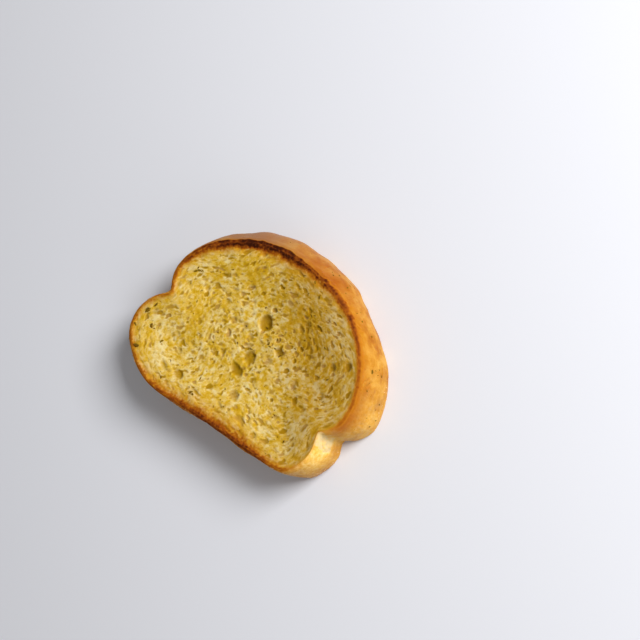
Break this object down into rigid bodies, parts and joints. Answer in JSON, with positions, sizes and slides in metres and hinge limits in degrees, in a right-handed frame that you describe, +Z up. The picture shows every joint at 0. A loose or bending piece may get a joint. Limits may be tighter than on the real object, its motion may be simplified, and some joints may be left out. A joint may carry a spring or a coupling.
{
  "type": "garlic bread slice",
  "caption": "Thick slice of tin-loaf garlic bread lying flat, with a browned bulging crust and a buttered, herbed crumb face.",
  "frame": {"origin": "middle of the slice's box, on the flat underside", "axes": "+Z up, from the lower cut face to the buttered one; +X along the side that stood on the tin's floor; +Y from that side to the dome"},
  "size_m": [0.1418, 0.104, 0.025],
  "materials": {
    "toasted_bread": "toasted bread: matt open crumb under melted butter, smooth golden-brown crust"
  },
  "bodies": {
    "root": {"slice": "toasted_bread"}
  },
  "joints": []
}
